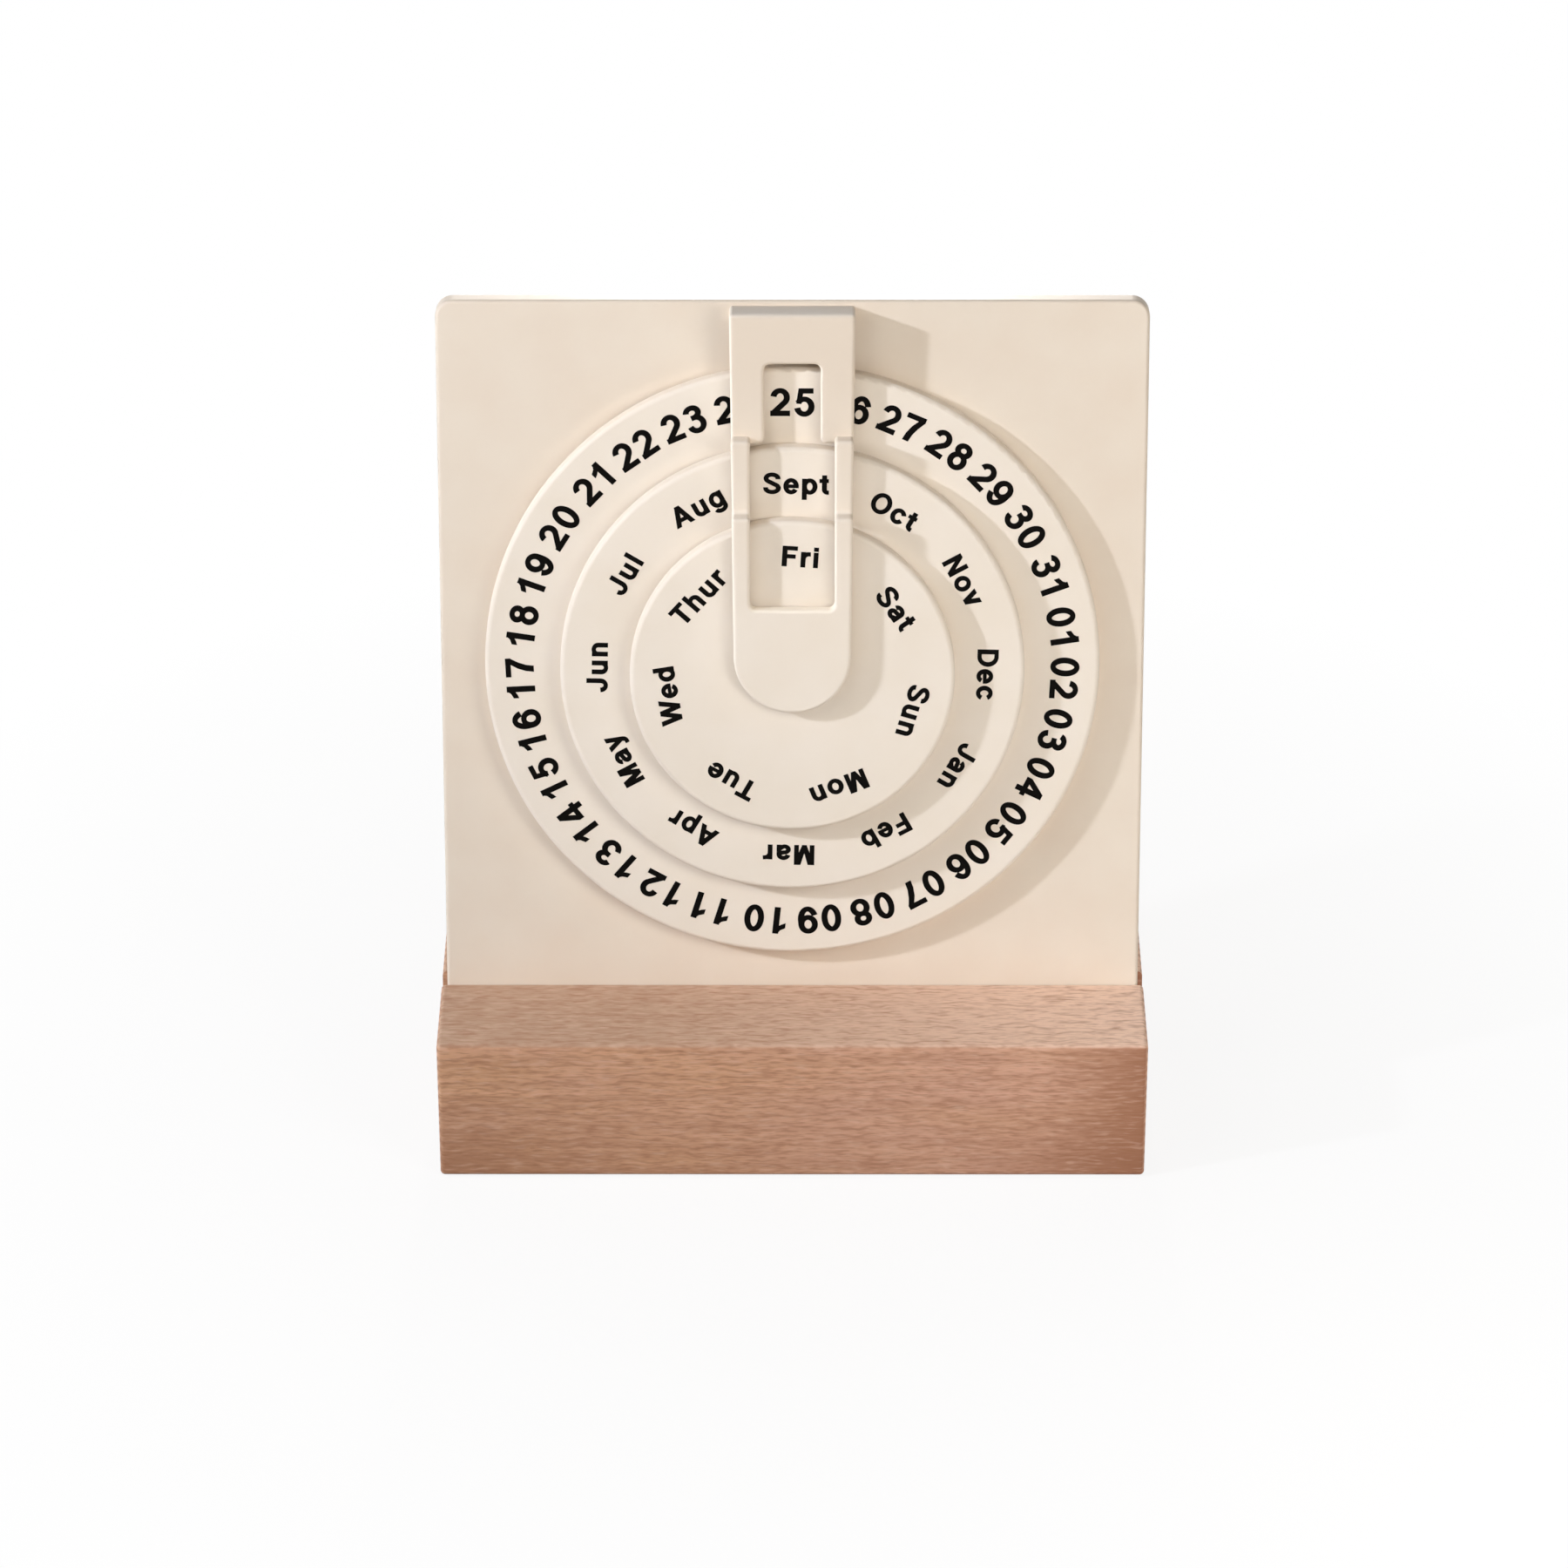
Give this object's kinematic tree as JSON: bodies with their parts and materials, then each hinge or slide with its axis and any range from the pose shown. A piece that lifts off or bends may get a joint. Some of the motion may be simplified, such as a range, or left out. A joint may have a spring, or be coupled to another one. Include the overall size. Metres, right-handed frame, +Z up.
{
  "type": "perpetual desk calendar",
  "caption": "Desk calendar: a leaning plate in a slotted wooden block carries stacked rotating dials for date, month and weekday, read through windows in a stepped bridge.",
  "frame": {"origin": "middle of the wooden block's flat underside, where the calendar rests on the desk", "axes": "+X along the block to the reader's right, +Y to the back, away from the reader, +Z up; the plate's face looks towards -Y and leans back 12 degrees"},
  "size_m": [0.12, 0.048, 0.1448],
  "materials": {
    "beech_wood": "sanded and oiled beech",
    "ivory_plate": "fine matte moulding",
    "ivory_dial": "fine matte moulding",
    "ivory_bridge": "fine matte moulding",
    "dial_ink": "matte black print",
    "brass_tube": "drawn tube",
    "spacer_nylon": "natural nylon",
    "spring_steel": "spring steel",
    "screw_steel": "zinc plated"
  },
  "bodies": {
    "base": {"base_block": "beech_wood"},
    "panel": {"back_plate": "ivory_plate", "window_bridge": "ivory_bridge", "axle_sleeve": "brass_tube", "axle_screw": "screw_steel", "axle_washer": "screw_steel", "foot_screws": "screw_steel", "plate_spacer": "spacer_nylon", "date_spacer": "spacer_nylon", "month_spacer": "spacer_nylon", "friction_spring": "spring_steel"},
    "date_wheel": {"date_dial": "ivory_dial"},
    "month_wheel": {"month_dial": "ivory_dial"},
    "weekday_wheel": {"weekday_dial": "ivory_dial"}
  },
  "joints": [
    {"name": "panel_lift", "type": "slide", "parent": "base", "child": "panel", "axis": [0, 0.2079, 0.9781], "range_m": [0, 0.0176]},
    {"name": "date_turn", "type": "hinge", "parent": "panel", "child": "date_wheel", "pos_m": [0, 0.01028, 0.08382], "axis": [0, -0.9781, 0.2079], "continuous": true},
    {"name": "month_turn", "type": "hinge", "parent": "panel", "child": "month_wheel", "pos_m": [0, 0.01028, 0.08382], "axis": [0, -0.9781, 0.2079], "continuous": true},
    {"name": "weekday_turn", "type": "hinge", "parent": "panel", "child": "weekday_wheel", "pos_m": [0, 0.01028, 0.08382], "axis": [0, -0.9781, 0.2079], "continuous": true}
  ]
}
